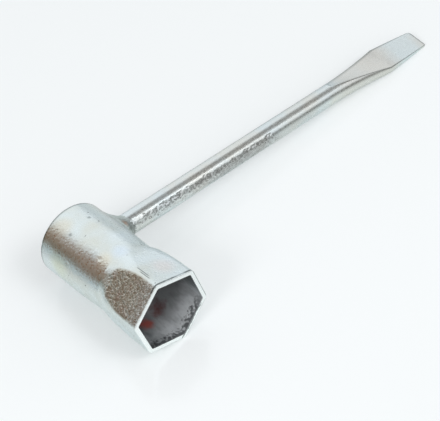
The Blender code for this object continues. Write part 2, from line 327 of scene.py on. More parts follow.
# Painted shade deeper in the bore, lighter on the lit side
deep_shade = add(paint, RANGE, [depth, 5.0 * MM, 11.0 * MM, 0.0, 0.88])
off_lit = add(paint, RANGE, [to_lit, 5.0 * MM, 10.0 * MM, 1.0, 0.55])
scores = add(paint, NOISE, {"Vector": place, "Scale": 1 / SCORE_WIDTH, "Detail": 3.0})
score_end = add(paint, RANGE, [scores, 0.32, 0.68, 0.0, SCORE_REACH])
past_score = add(paint, MATH, [depth, score_end], operation="SUBTRACT")
scored = add(paint, RANGE, [past_score, 0.9 * MM, -0.7 * MM, 0.0, 0.8])
on_scored = add(paint, RANGE, [reach_towards(paint, place, SCORED_SIDE), 3.5 * MM, 7.0 * MM, 0.0, 1.0])
coats = [
    (add(paint, RANGE, [mottle, 0.35, 0.70, 0.0, 1.0]), "#a5aaad"),
    # painted light on the lit side
    (add(paint, RANGE, [to_lit, 4.5 * MM, 10.0 * MM, 0.0, 0.85]), "#e0e4e7"),
    (add(paint, RANGE, [streaks, 0.45, 0.70, 0.0, 0.35]), "#6a6d70"),
    (add(paint, MATH, [deep_shade, off_lit], operation="MULTIPLY"), "#48494b"),
    # painted shade, warm-toned, inside the tan flat
    (add(paint, RANGE, [reach_towards(paint, place, TAN_FLAT), 7.0 * MM, 9.5 * MM, 0.0, 0.5]), "#5c4848"),
    (add(paint, RANGE, [reach_towards(paint, place, SHADED_SIDE), 5.5 * MM, 9.5 * MM, 0.0, 0.70]), "#454a4b"),
    (add(paint, MATH, [scored, on_scored], operation="MULTIPLY"), "#2b2f31"),
]
for rust_depth, rust_turn, rust_size, shade in RUST_SPOTS:
    off_rust = distance_on_socket(paint, place, INNER_FLAT, rust_depth, rust_turn)
    spread_rust = add(paint, MATH, [mottle, -2.0 * rust_size, off_rust], operation="MULTIPLY_ADD")
    coats.append((add(paint, RANGE, [spread_rust, 0.4 * rust_size, -0.6 * rust_size, 0.0, 0.85]), shade))
paint.links.new(laid_over(paint, "#757a7c", coats), surface["Base Color"])


def shaping_tree(name, sizes):
    """An empty Geometry Nodes tree with a named input for each size, and those inputs."""
    tree = bpy.data.node_groups.new(name, "GeometryNodeTree")
    tree.is_modifier = True
    tree.interface.new_socket("Geometry", in_out="OUTPUT", socket_type="NodeSocketGeometry")
    for size in sizes:
        tree.interface.new_socket(size, in_out="INPUT", socket_type="NodeSocketFloat")
    return tree, add(tree, "NodeGroupInput").outputs


def finished(tree, mesh, *finishes):
    """Ends a tree: its mesh smooth, realized and in its finishes, each with the faces that take it."""
    mesh = add(tree, "GeometryNodeSetShadeSmooth", {"Geometry": mesh})
    mesh = add(tree, "GeometryNodeRealizeInstances", [mesh])
    for finish, faces in finishes:
        taking = {"Geometry": mesh, "Selection": faces, "Material": finish}
        mesh = add(tree, "GeometryNodeSetMaterial", taking)
    add(tree, "NodeGroupOutput", [mesh])


def shaped(name, tree, sizes, sharp_angle):
    """The plain mesh that a tree makes at these sizes, laid down as the tool rests."""
    piece = bpy.data.objects.new(name, bpy.data.meshes.new(name))
    bpy.context.scene.collection.objects.link(piece)
    modifier = piece.modifiers.new(tree.name, "NODES")
    modifier.node_group = tree
    for socket in tree.interface.items_tree:
        if socket.in_out == "INPUT":
            modifier[socket.identifier] = sizes[socket.name]
    made = piece.evaluated_get(bpy.context.evaluated_depsgraph_get())
    mesh = bpy.data.meshes.new_from_object(made)
    piece.modifiers.remove(modifier)
    piece.data = mesh
    mesh.transform(rest)
    mesh.set_sharp_from_angle(angle=sharp_angle)
    return piece


TUBE_FACETS = 234
RIM_FACETS = 3  # across the rounding of a cut edge
HOLE_FACETS = 96
MERGED_WITHIN = 0.001 * MM  # points this close become one
SHARP_EDGE = math.radians(50.0)  # bends past this are shaded as edges
socket_sizes = {
    "Hexagon": INNER_FLAT,
    "Corner": 0.5 * MM,  # radius inside the hexagon's corners
    "Wall": WALL,
    "Waist": WAIST_OUTER / 2 - WALL,
    "Swell": (TUBE_OUTER - WAIST_OUTER) / 2,  # of the radius behind the waist
    "Tube": TUBE_OUTER / 2,
    "Length": SOCKET_LENGTH,
    "Full corners": HEX_DEPTH,
    "Dip start": WAIST_DEPTH - FLAT_DIP,  # where the flats begin to sink
    "Waist depth": WAIST_DEPTH,
    "Rise end": WAIST_DEPTH + WAIST_RISE,
    "Flat turn": math.pi + LOWEST_FLAT,
    "Bar depth": BAR_DEPTH,
    "Bar hole": BAR_RADIUS,
    "Rim edge": 0.3 * MM,  # rounding of the cut edges
    "Step": 0.25 * MM,  # between points along the wall
    "Dent spacing": 4.0 * MM,
    "Dent depth": 0.09 * MM,
    "Seed": 5.0,
}
press, size = shaping_tree("pressed_socket", socket_sizes)

# A round tube standing on its mouth, its wall a long thin rectangle carried round a ring
ring = add(press, "GeometryNodeCurvePrimitiveCircle", {"Resolution": TUBE_FACETS, "Radius": size["Tube"]})
section = add(press, "GeometryNodeCurvePrimitiveQuadrilateral", [size["Wall"], size["Length"]])
stepped = add(press, "GeometryNodeResampleCurve", {"Curve": section, "Length": size["Step"]}, mode="LENGTH")
eased = add(
    press, "GeometryNodeFilletCurve",
    {"Curve": stepped, "Count": RIM_FACETS, "Radius": size["Rim edge"], "Limit Radius": True},
    mode="POLY",
)
tube = add(press, "GeometryNodeCurveToMesh", {"Curve": ring, "Profile Curve": eased})
tube = add(press, "GeometryNodeMergeByDistance", {"Geometry": tube, "Distance": MERGED_WITHIN})

# Where each point of it is: the turn about the axis, the depth behind the mouth and the place in the wall
spot = add(press, "GeometryNodeInputPosition")
xyz = add(press, "ShaderNodeSeparateXYZ", [spot]).outputs
upward = add(press, MATH, [xyz["Y"], -1.0], operation="MULTIPLY")
turn = add(press, MATH, [upward, xyz["X"]], operation="ARCTAN2")
depth = add(press, MATH, [size["Length"], 0.5, xyz["Z"]], operation="MULTIPLY_ADD")
square_on = add(press, VECTOR, [spot, (1.0, 1.0, 0.0)], operation="MULTIPLY")
from_axis = add(press, VECTOR, [square_on], operation="LENGTH").outputs["Value"]
half_wall_out = add(press, MATH, [size["Wall"], 0.5, from_axis], operation="MULTIPLY_ADD")
in_wall = add(press, MATH, [half_wall_out, size["Tube"]], operation="SUBTRACT")

# The bore's flats sink to the waist and rise again behind it, while its corners fade to the round
dip = add(
    press, RANGE, [depth, size["Dip start"], size["Waist depth"], size["Hexagon"], size["Waist"]],
    interpolation_type="SMOOTHSTEP",
)
swell = add(
    press, RANGE, [depth, size["Waist depth"], size["Rise end"], 0.0, size["Swell"]],
    interpolation_type="SMOOTHSTEP",
)
bore = add(press, MATH, [dip, swell], operation="ADD")
fade = add(press, RANGE, [depth, size["Full corners"], size["Waist depth"], 0.0, 1.0])
fade = add(press, MATH, [fade, 2.0], operation="POWER")
bore_corner = add(press, RANGE, [fade, 0.0, 1.0, size["Corner"], bore])
flat = add(press, MATH, [bore, in_wall], operation="ADD")
corner = add(press, MATH, [bore_corner, in_wall], operation="ADD")

# The radius at each turn: on a flat, or on the arc that rounds a corner
core = add(press, MATH, [flat, corner], operation="SUBTRACT")
unturned = add(press, MATH, [turn, size["Flat turn"]], operation="SUBTRACT")
off_flat = add(press, MATH, [unturned, SECTOR], operation="PINGPONG")
off_corner = add(press, MATH, [SECTOR, off_flat], operation="SUBTRACT")
half_flat = add(press, MATH, [core, math.tan(SECTOR)], operation="MULTIPLY")
bend = add(press, MATH, [half_flat, flat], operation="ARCTAN2")
on_flat = add(press, MATH, [flat, add(press, MATH, [off_flat], operation="COSINE")], operation="DIVIDE")
hub = add(press, MATH, [core, 1 / math.cos(SECTOR)], operation="MULTIPLY")
across = add(press, MATH, [hub, add(press, MATH, [off_corner], operation="SINE")], operation="MULTIPLY")
across = add(press, MATH, [across, 2.0], operation="POWER")
chord = add(press, MATH, [corner, corner], operation="MULTIPLY")
chord = add(press, MATH, [chord, across], operation="SUBTRACT")
chord = add(press, MATH, [chord], operation="SQRT")
along_hub = add(press, MATH, [off_corner], operation="COSINE")
on_corner = add(press, MATH, [hub, along_hub, chord], operation="MULTIPLY_ADD")
rounded = add(press, "FunctionNodeCompare", [off_flat, bend], operation="GREATER_THAN")
radius = add(press, "GeometryNodeSwitch", [rounded, on_flat, on_corner], input_type="FLOAT")

# Small dents that knocks have left on the outside
dents_per_metre = add(press, MATH, [1.0, size["Dent spacing"]], operation="DIVIDE")
knocks = add(
    press, "ShaderNodeTexVoronoi", {"Vector": spot, "W": size["Seed"], "Scale": dents_per_metre},
    voronoi_dimensions="4D",
).outputs
dent = add(
    press, RANGE, [knocks["Distance"], 0.24, 0.08, 0.0, size["Dent depth"]], interpolation_type="SMOOTHSTEP"
)
near_outside = add(press, MATH, [size["Wall"], 0.9], operation="MULTIPLY")
outside = add(press, "FunctionNodeCompare", [in_wall, near_outside], operation="GREATER_THAN")
dent = add(press, MATH, [dent, outside], operation="MULTIPLY")
radius = add(press, MATH, [radius, dent], operation="SUBTRACT")

# The pressed tube lies down along +Y, with the bar's hole through the wall that faces +X
pressed = add(
    press, "ShaderNodeCombineXYZ",
    [
        add(press, MATH, [radius, add(press, MATH, [turn], operation="COSINE")], operation="MULTIPLY"),
        add(press, MATH, [depth, size["Bar depth"]], operation="SUBTRACT"),
        add(press, MATH, [radius, add(press, MATH, [turn], operation="SINE")], operation="MULTIPLY"),
    ],
)
tube = add(press, "GeometryNodeSetPosition", {"Geometry": tube, "Position": pressed})
drill_sizes = {"Vertices": HOLE_FACETS, "Radius": size["Bar hole"], "Depth": size["Tube"]}
drill = add(press, "GeometryNodeMeshCylinder", drill_sizes)
drill_place = add(press, "ShaderNodeCombineXYZ", [size["Tube"]])
drill = add(
    press, "GeometryNodeTransform",
    {"Geometry": drill, "Translation": drill_place, "Rotation": (0.0, QUARTER, 0.0)},
)
tube = add(
    press, "GeometryNodeMeshBoolean", {"Mesh 1": tube, "Mesh 2": drill},
    operation="DIFFERENCE", solver="EXACT",
)

# Faces that look at the axis are the bore
outward = add(press, VECTOR, [spot, (1.0, 0.0, 1.0)], operation="MULTIPLY")
outward = add(press, VECTOR, [outward], operation="NORMALIZE")
faces_out = add(press, VECTOR, [add(press, "GeometryNodeInputNormal"), outward], operation="DOT_PRODUCT")
inside = add(press, "FunctionNodeCompare", [faces_out.outputs["Value"], -0.5], operation="LESS_THAN")
finished(press, tube, (tube_zinc, True), (bore_zinc, inside))
socket_tube = shaped("plated_socket_tube", press, socket_sizes, SHARP_EDGE)
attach(socket_tube, "root")
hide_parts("socket_tube")


# Handle bar. A round bar of drawn mild steel, 7.4 mm across, plated with the tube. Its far end is forged hot
# between dies to a screwdriver blade, which spreads wider than the bar and is a little twisted. Its near end
# passes through the drilled hole and stands just inside the bore.
BAR_START = TUBE_OUTER / 2 - WALL - 0.5 * MM
BAR_REACH = 153.0 * MM  # from the socket's axis to the blade's tip
FLATS_START = BAR_REACH - 46.0 * MM
WIDEST = BAR_REACH - 20.0 * MM
BLADE_THICKNESS = 3.0 * MM  # at the widest place
TIP_THICKNESS = 1.0 * MM
BLADE_WIDTH = 10.6 * MM  # across the flats at the widest place
TIP_WIDTH = 8.2 * MM
RAW_SIDE = math.radians(174.0)  # the middle of the unpolished strip, turned about the bar from the rear up
RAW_HALF = math.radians(33.0)
RAW_SIDE_ROOT = math.radians(155.0)  # the same near the tube
RAW_HALF_ROOT = math.radians(24.0)
BAR_STATIONS = 640  # along its length
BAR_FACETS = 112
STORED = "GeometryNodeStoreNamedAttribute"  # what the shape knows and the finish reads


def side_width(flat_width, thickness):
    """Half width over the blade's round sides, for a width across its flat."""
    return flat_width / 2 / math.sqrt(1.0 - (thickness / 2 / BAR_RADIUS) ** 2)


# Bright zinc plate on drawn bar: silver and glossier than the tube, a little dimmer at a grazing look. A
# strip along its lower side was never polished, so the plate there is greyer and full of pits. The blade's
# warm grey, bluish towards its tip, is a painted reflection, and so is a dark line along its edges; painted
# shade darkens the tip's end.
BAR_CLOUD_SIZE = 9.0 * MM
BAR_GRAIN_SIZE = 0.8 * MM  # drawn coarser than it is, so that it shows
BAR_GRAIN_HEIGHT = 0.02 * MM
BAR_ROUGHNESS = (0.24, 0.34)
BLUISH_SPAN = (WIDEST + 1.0 * MM, WIDEST + 7.0 * MM)  # over which the blade's painted reflection turns from warm to bluish

bar_zinc, paint, surface = new_finish("bright_zinc_on_drawn_bar")
surface["Metallic"].default_value = 1.0
surface["Specular Tint"].default_value = colour("#e9ebeb")
place = tool_coordinates(paint)
along = add(paint, "ShaderNodeSeparateXYZ", [place]).outputs["X"]
clouds = add(paint, NOISE, {"Vector": place, "Scale": 1 / BAR_CLOUD_SIZE, "Detail": 2.0})
bluish_sheen = between(paint, along, BLUISH_SPAN, (BAR_REACH - 1.0 * MM, BAR_REACH - 4.0 * MM))
warm_blade_sheen = add(paint, RANGE, [along, FLATS_START, FLATS_START + 6.0 * MM, 0.0, 0.7])
short_of_blue = add(paint, RANGE, [along, *BLUISH_SPAN, 1.0, 0.0])
dark_edge_sheen = add(paint, "ShaderNodeAttribute", attribute_name="painted_dark_edge").outputs["Fac"]
raw_strip = add(paint, "ShaderNodeAttribute", attribute_name="raw").outputs["Fac"]
pits = add(paint, "ShaderNodeAttribute", attribute_name="pit").outputs["Fac"]
cleaner_root = add(paint, RANGE, [along, 24.0 * MM, 44.0 * MM, 0.2, 0.4])
coats = [
    (add(paint, RANGE, [clouds, 0.35, 0.65, 0.0, 1.0]), "#d8e0e2"),
    # painted reflection: bluish towards the tip, warm grey behind it
    (add(paint, MATH, [bluish_sheen, 0.8], operation="MULTIPLY"), "#dae3e5"),
    (add(paint, MATH, [warm_blade_sheen, short_of_blue], operation="MULTIPLY"), "#d3d0ca"),
    # painted shade along the tip's end
    (add(paint, RANGE, [along, BAR_REACH - 0.8 * MM, BAR_REACH - 0.2 * MM, 0.0, 0.6]), "#6f6d6a"),
    # painted reflection: a dark line along the blade's edges
    (add(paint, MATH, [dark_edge_sheen, 0.85], operation="MULTIPLY"), "#676d6c"),
    (add(paint, MATH, [raw_strip, 0.6], operation="MULTIPLY"), "#babbba"),
    (add(paint, MATH, [pits, cleaner_root], operation="MULTIPLY"), "#8b8885"),
]
grain = add(paint, NOISE, {"Vector": place, "Scale": 1 / BAR_GRAIN_SIZE, "Detail": 3.0})
rough = add(paint, RANGE, [grain, *NOISE_SPREAD, *BAR_ROUGHNESS])
peel = add(paint, "ShaderNodeBump", {"Strength": 0.3, "Distance": BAR_GRAIN_HEIGHT, "Height": grain})
paint.links.new(laid_over(paint, "#dbdcd8", coats), surface["Base Color"])
paint.links.new(rough.outputs[0], surface["Roughness"])
paint.links.new(peel.outputs[0], surface["Normal"])

bar_sizes = {
    "Radius": BAR_RADIUS,
    "Start": BAR_START,
    "Reach": BAR_REACH,
    "Flats start": FLATS_START,
    "Widest": WIDEST,
    "Bitten": BAR_RADIUS - 0.15 * MM,  # half thickness where the dies begin to bite
    "Uncut": 0.8 * MM,  # by which the flats clear the round bar before that
    "Die edge": FLATS_START - 0.6 * MM,
    "Blade half": BLADE_THICKNESS / 2,
    "Tip thinner": (TIP_THICKNESS - BLADE_THICKNESS) / 2,
    "Shoulder": side_width(BLADE_WIDTH, BLADE_THICKNESS),  # half width at the widest place
    "Tip narrower": side_width(TIP_WIDTH, TIP_THICKNESS) - side_width(BLADE_WIDTH, BLADE_THICKNESS),
    "Near corner": 0.3 * MM,  # rounding of the tip's corner towards the mouth
    "Far corner": 1.2 * MM,  # and of the one towards the rear
    "Tip drop": 0.5 * MM,
    "Edge": 0.35 * MM,  # rounding of the blade's edges, and the width of the dark line painted along them
    "Far edge": 1.1 * MM,  # width of the dark line painted on the rear edge
    "Twist start": math.radians(-6.0),
    "Twist": math.radians(14.0),
    "Patch size": 5.0 * MM,  # of the waves in the strip's outline
    "Edge wander": 0.9,  # by which its long edges wander about the bar, in radians
    "Edge fade": 0.06,  # half the angle over which they fade
    "End wander": 30.0 * MM,  # by which its ends wander
    "Pit spacing": 0.95 * MM,
    "Pit depth": 0.17 * MM,
    "Wave size": 1.4 * MM,  # of the strip's uneven surface beside the tube
    "Unevenness": 1.1 * MM,  # most that it may swing
    "Polished to": 20.0 * MM,
    "Raw from": 44.0 * MM,
    "Raw fades": 70.0 * MM,
    "Raw to": 80.0 * MM,
    "Seed": 3.0,
}
forge, size = shaping_tree("forged_bar", bar_sizes)

# A round bar along +X, and where each point of it is: how far along, and the turn about it from the rear up
near_end = add(forge, "ShaderNodeCombineXYZ", [size["Start"]])
far_end = add(forge, "ShaderNodeCombineXYZ", [size["Reach"]])
axis = add(forge, "GeometryNodeCurvePrimitiveLine", {"Start": near_end, "End": far_end})
axis = add(forge, "GeometryNodeResampleCurve", {"Curve": axis, "Count": BAR_STATIONS}, mode="COUNT")
girth = add(forge, "GeometryNodeCurvePrimitiveCircle", {"Resolution": BAR_FACETS, "Radius": size["Radius"]})
bar = add(forge, "GeometryNodeCurveToMesh", {"Curve": axis, "Profile Curve": girth, "Fill Caps": True})
spot = add(forge, "GeometryNodeInputPosition")
xyz = add(forge, "ShaderNodeSeparateXYZ", [spot]).outputs
x = xyz["X"]
turn = add(forge, MATH, [xyz["Z"], xyz["Y"]], operation="ARCTAN2")
to_rear = add(forge, MATH, [turn], operation="COSINE")
to_top = add(forge, MATH, [turn], operation="SINE")

# The dies thin it to a blade and spread it sideways, with rounded corners at the tip
thick = add(forge, RANGE, [x, size["Flats start"], size["Widest"], size["Bitten"], size["Blade half"]])
die_step = add(forge, RANGE, [x, size["Die edge"], size["Flats start"], size["Uncut"], 0.0])
thinner = add(forge, RANGE, [x, size["Widest"], size["Reach"], 0.0, size["Tip thinner"]])
for change in (die_step, thinner):
    thick = add(forge, MATH, [thick, change], operation="ADD")
spread = add(forge, RANGE, [x, size["Flats start"], size["Widest"], 0.0, 1.0])
spread = add(forge, MATH, [spread, 1.5], operation="POWER")
wide = add(forge, RANGE, [spread, 0.0, 1.0, size["Radius"], size["Shoulder"]])
narrower = add(forge, RANGE, [x, size["Widest"], size["Reach"], 0.0, size["Tip narrower"]])
wide = add(forge, MATH, [wide, narrower], operation="ADD")
from_tip = add(forge, MATH, [size["Reach"], x], operation="SUBTRACT")
tip_corner = add(forge, RANGE, [to_rear, -1.0, 1.0, size["Near corner"], size["Far corner"]])
corner_in = add(forge, RANGE, [from_tip, 0.0, tip_corner, 1.0, 0.0])
corner_in = add(forge, MATH, [corner_in, 2.0], operation="POWER")
corner_in = add(forge, MATH, [1.0, corner_in], operation="SUBTRACT")
corner_in = add(forge, MATH, [corner_in], operation="SQRT")
corner_in = add(forge, MATH, [1.0, corner_in], operation="SUBTRACT")
corner_in = add(forge, MATH, [corner_in, tip_corner], operation="MULTIPLY")
wide = add(forge, MATH, [wide, corner_in], operation="SUBTRACT")
side = add(forge, MATH, [wide, to_rear], operation="MULTIPLY")
high = add(forge, MATH, [size["Radius"], to_top], operation="MULTIPLY")

# A dark line painted along the edges of the blade's upper flat, a painted reflection, wider on the rear one
off_edge = add(forge, MATH, [high, thick], operation="SUBTRACT")
off_edge = add(forge, MATH, [off_edge], operation="ABSOLUTE")
dark_edge_width = add(forge, RANGE, [to_rear, 0.0, 1.0, size["Edge"], size["Far edge"]])
painted_dark_edge = add(forge, RANGE, [off_edge, 0.0, dark_edge_width, 1.0, 0.0])
on_blade = add(forge, RANGE, [x, size["Flats start"], size["Widest"], 0.3, 1.0])
painted_dark_edge = add(forge, MATH, [painted_dark_edge, on_blade], operation="MULTIPLY")
bar = add(forge, STORED, {"Geometry": bar, "Name": "painted_dark_edge", "Value": painted_dark_edge}, data_type="FLOAT")

# Its flats cut the round off, it is twisted, and its tip is bent down
high = add(forge, MATH, [high, thick, size["Edge"]], operation="SMOOTH_MIN")
lower_flat = add(forge, MATH, [thick, -1.0], operation="MULTIPLY")
high = add(forge, MATH, [high, lower_flat, size["Edge"]], operation="SMOOTH_MAX")
forged = add(forge, "ShaderNodeCombineXYZ", [x, side, high])
twist = add(forge, RANGE, [x, size["Flats start"], size["Widest"], size["Twist start"], size["Twist"]])
forged = add(forge, "ShaderNodeVectorRotate", {"Vector": forged, "Angle": twist}, rotation_type="X_AXIS")
drop = add(forge, RANGE, [x, size["Widest"], size["Reach"], 0.0, size["Tip drop"]])
drop = add(forge, MATH, [drop, -1.0], operation="MULTIPLY")
bent = add(forge, "ShaderNodeCombineXYZ", {"Z": drop})
bar = add(forge, "GeometryNodeSetPosition", {"Geometry": bar, "Position": forged, "Offset": bent})

# The strip that was never polished, with a ragged outline, thinner near the tube and fading towards the blade
strip_side = add(forge, RANGE, [x, size["Polished to"], size["Raw from"], RAW_SIDE_ROOT, RAW_SIDE])
strip_half = add(forge, RANGE, [x, size["Polished to"], size["Raw from"], RAW_HALF_ROOT, RAW_HALF])
off_strip = add(forge, MATH, [turn, strip_side], operation="SUBTRACT")
off_strip = add(forge, MATH, [off_strip, math.pi, -math.pi], operation="WRAP")
off_strip = add(forge, MATH, [off_strip], operation="ABSOLUTE")
patches_per_metre = add(forge, MATH, [1.0, size["Patch size"]], operation="DIVIDE")
patches = add(
    forge, NOISE, {"Vector": spot, "W": size["Seed"], "Scale": patches_per_metre, "Detail": 3.0},
    noise_dimensions="4D",
)
wander = add(forge, MATH, [patches, 0.5], operation="SUBTRACT")
off_strip = add(forge, MATH, [wander, size["Edge wander"], off_strip], operation="MULTIPLY_ADD")
in_strip = add(forge, MATH, [strip_half, off_strip], operation="SUBTRACT")
edge_start = add(forge, MATH, [size["Edge fade"], -1.0], operation="MULTIPLY")
raw = add(forge, RANGE, [in_strip, edge_start, size["Edge fade"], 0.0, 1.0])
wandering_x = add(forge, MATH, [wander, size["End wander"], x], operation="MULTIPLY_ADD")
not_faded = add(forge, RANGE, [wandering_x, size["Raw to"], size["Raw fades"], 0.0, 1.0])
thinned = add(forge, RANGE, [wandering_x, size["Polished to"], size["Raw from"], 0.55, 1.0])
for limit in (not_faded, thinned):
    raw = add(forge, MATH, [raw, limit], operation="MULTIPLY")
bar = add(forge, STORED, {"Geometry": bar, "Name": "raw", "Value": raw}, data_type="FLOAT")
raw = add(forge, "GeometryNodeInputNamedAttribute", {"Name": "raw"})

# Pits in the strip, deeper near the tube, where its surface is also uneven
pits_per_metre = add(forge, MATH, [1.0, size["Pit spacing"]], operation="DIVIDE")
cells = add(
    forge, "ShaderNodeTexVoronoi", {"Vector": spot, "W": size["Seed"], "Scale": pits_per_metre},
    voronoi_dimensions="4D",
).outputs
bowl = add(forge, RANGE, [cells["Distance"], 0.85, 0.35, 0.0, 1.0], interpolation_type="SMOOTHSTEP")
draw = add(forge, "ShaderNodeSeparateXYZ", [cells["Color"]])
pitted = add(forge, "FunctionNodeCompare", [draw, raw], operation="LESS_THAN")
pit = add(forge, MATH, [bowl, pitted], operation="MULTIPLY")
bar = add(forge, STORED, {"Geometry": bar, "Name": "pit", "Value": pit}, data_type="FLOAT")
pit = add(forge, "GeometryNodeInputNamedAttribute", {"Name": "pit"})
inward = add(forge, RANGE, [x, size["Polished to"], size["Raw from"], -1.4, -1.0])
pit_depth = add(forge, MATH, [size["Pit depth"], inward], operation="MULTIPLY")
sunk = add(forge, MATH, [pit, pit_depth], operation="MULTIPLY")
waves_per_metre = add(forge, MATH, [1.0, size["Wave size"]], operation="DIVIDE")
waves = add(
    forge, NOISE, {"Vector": spot, "W": size["Seed"], "Scale": waves_per_metre, "Detail": 1.0},
    noise_dimensions="4D",
)
waves = add(forge, MATH, [waves, 0.5], operation="SUBTRACT")
waves = add(forge, MATH, [waves, raw], operation="MULTIPLY")
uneven = add(forge, RANGE, [x, size["Raw from"], size["Polished to"], 0.0, size["Unevenness"]])
sunk = add(forge, MATH, [waves, uneven, sunk], operation="MULTIPLY_ADD")
sink = add(forge, VECTOR, {0: add(forge, "GeometryNodeInputNormal"), "Scale": sunk}, operation="SCALE")
bar = add(forge, "GeometryNodeSetPosition", {"Geometry": bar, "Offset": sink})
finished(forge, bar, (bar_zinc, True))
handle_bar = shaped("plated_handle_bar", forge, bar_sizes, SHARP_EDGE)
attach(handle_bar, "root")
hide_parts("handle_bar")


# Weld bead. Filler metal laid by an electric arc all round the bar where it enters the tube, plated with the
# rest. The fillet is fuller towards the mouth, and its face keeps the ripples of the metal as it set.
WELD_STATIONS = 180  # round the bar
WELD_FACETS = 96
WELD_SHARP_EDGE = math.radians(60.0)

# Zinc on rippled weld: as pale as the tube where it runs out on it, darkened by painted shade in the angle
# beside the bar towards its lower side, and with a spot of rust in that angle.
WELD_SHADE_SIDE = math.radians(155.0)  # turned about the bar from the rear up
WELD_SHADE_WANDER = 2.0 * MM
WELD_MOTTLE_SIZE = 1.6 * MM
RUST_AT = Vector((TUBE_OUTER / 2 + 1.1 * MM, -3.2 * MM, 4.6 * MM))

plated_weld, paint, surface = new_finish("zinc_on_rippled_weld")
surface["Metallic"].default_value = 1.0
surface["Roughness"].default_value = 0.35
place = tool_coordinates(paint)
mottle = add(paint, NOISE, {"Vector": place, "Scale": 1 / WELD_MOTTLE_SIZE, "Detail": 3.0})
square_on = add(paint, VECTOR, [place, (0.0, 1.0, 1.0)], operation="MULTIPLY")
from_axis = add(paint, VECTOR, [square_on], operation="LENGTH").outputs["Value"]
# Painted shade in the angle beside the bar, strongest on the lower side
by_bar = add(paint, MATH, [mottle, WELD_SHADE_WANDER, from_axis], operation="MULTIPLY_ADD")
by_bar = add(paint, RANGE, [by_bar, BAR_RADIUS + 3.6 * MM, BAR_RADIUS + 1.8 * MM, 0.0, 0.95])
weld_shade_direction = (0.0, math.cos(WELD_SHADE_SIDE), math.sin(WELD_SHADE_SIDE))
to_weld_shade = add(paint, VECTOR, [place, weld_shade_direction], operation="DOT_PRODUCT").outputs["Value"]
weld_shade = add(paint, RANGE, [to_weld_shade, 1.8 * MM, 3.6 * MM, 0.1, 1.0])
off_rust = add(paint, VECTOR, [place, RUST_AT], operation="DISTANCE").outputs["Value"]
coats = [
    (add(paint, RANGE, [mottle, 0.35, 0.65, 0.0, 1.0]), "#dae3e1"),
    (add(paint, MATH, [by_bar, weld_shade], operation="MULTIPLY"), "#8d9290"),
    (add(paint, RANGE, [off_rust, 1.7 * MM, 0.3 * MM, 0.0, 0.85]), "#a27a60"),
]
paint.links.new(laid_over(paint, "#bac2be", coats), surface["Base Color"])

weld_sizes = {
    "Tube": TUBE_OUTER / 2,
    "Root": BAR_RADIUS - 0.1 * MM,  # just inside the bar's skin
    "Sink": -0.1 * MM,  # just inside the tube's skin
    "Leg": 4.2 * MM,  # reach out over the tube
    "Rise": 3.7 * MM,  # reach up along the bar
    "Lean": -0.5 * MM,  # less of both towards the rear
    "Hollow": 2.8,  # power that hollows its face
    "Ripples": 30.0,  # once round the bar
    "Ripple": 0.05 * MM,  # height of each
    "Lump size": 2.2 * MM,
    "Lumps": 0.5 * MM,  # swing of the lumps
    "Seed": 2.0,
}
lay, size = shaping_tree("laid_fillet", weld_sizes)

# A plain ring, and where each point of it is: the turn about the bar, and the sweep round its own section
run = add(lay, "GeometryNodeCurvePrimitiveCircle", {"Resolution": WELD_STATIONS, "Radius": size["Tube"]})
bead = add(lay, "GeometryNodeCurvePrimitiveCircle", {"Resolution": WELD_FACETS, "Radius": size["Root"]})
weld = add(lay, "GeometryNodeCurveToMesh", {"Curve": run, "Profile Curve": bead})
spot = add(lay, "GeometryNodeInputPosition")
xyz = add(lay, "ShaderNodeSeparateXYZ", [spot]).outputs
turn = add(lay, MATH, [xyz["Y"], xyz["X"]], operation="ARCTAN2")
square_on = add(lay, VECTOR, [spot, (1.0, 1.0, 0.0)], operation="MULTIPLY")
from_axis = add(lay, VECTOR, [square_on], operation="LENGTH").outputs["Value"]
past_ring = add(lay, MATH, [from_axis, size["Tube"]], operation="SUBTRACT")
sweep = add(lay, MATH, [xyz["Z"], past_ring], operation="ARCTAN2")

# The hollow fillet between bar and tube, fuller towards the mouth, set on the tube's round side
to_rear = add(lay, MATH, [turn], operation="COSINE")
leg = add(lay, MATH, [to_rear, size["Lean"], size["Leg"]], operation="MULTIPLY_ADD")
climb = add(lay, MATH, [to_rear, size["Lean"], size["Rise"]], operation="MULTIPLY_ADD")
share_out = add(lay, MATH, [add(lay, MATH, [sweep], operation="COSINE"), 0.0], operation="MAXIMUM")
share_up = add(lay, MATH, [add(lay, MATH, [sweep], operation="SINE"), 0.0], operation="MAXIMUM")
share_out = add(lay, MATH, [share_out, size["Hollow"]], operation="POWER")
share_up = add(lay, MATH, [share_up, size["Hollow"]], operation="POWER")
out = add(lay, MATH, [leg, share_out, size["Root"]], operation="MULTIPLY_ADD")
up = add(lay, MATH, [climb, share_up, size["Sink"]], operation="MULTIPLY_ADD")
y = add(lay, MATH, [out, to_rear], operation="MULTIPLY")
z = add(lay, MATH, [out, add(lay, MATH, [turn], operation="SINE")], operation="MULTIPLY")
saddle = add(lay, MATH, [size["Tube"], size["Tube"]], operation="MULTIPLY")
saddle = add(lay, MATH, [saddle, add(lay, MATH, [z, z], operation="MULTIPLY")], operation="SUBTRACT")
saddle = add(lay, MATH, [saddle], operation="SQRT")
laid = add(lay, "ShaderNodeCombineXYZ", [add(lay, MATH, [saddle, up], operation="ADD"), y, z])
weld = add(lay, "GeometryNodeSetPosition", {"Geometry": weld, "Position": laid})
weld = add(lay, "GeometryNodeMergeByDistance", {"Geometry": weld, "Distance": MERGED_WITHIN})

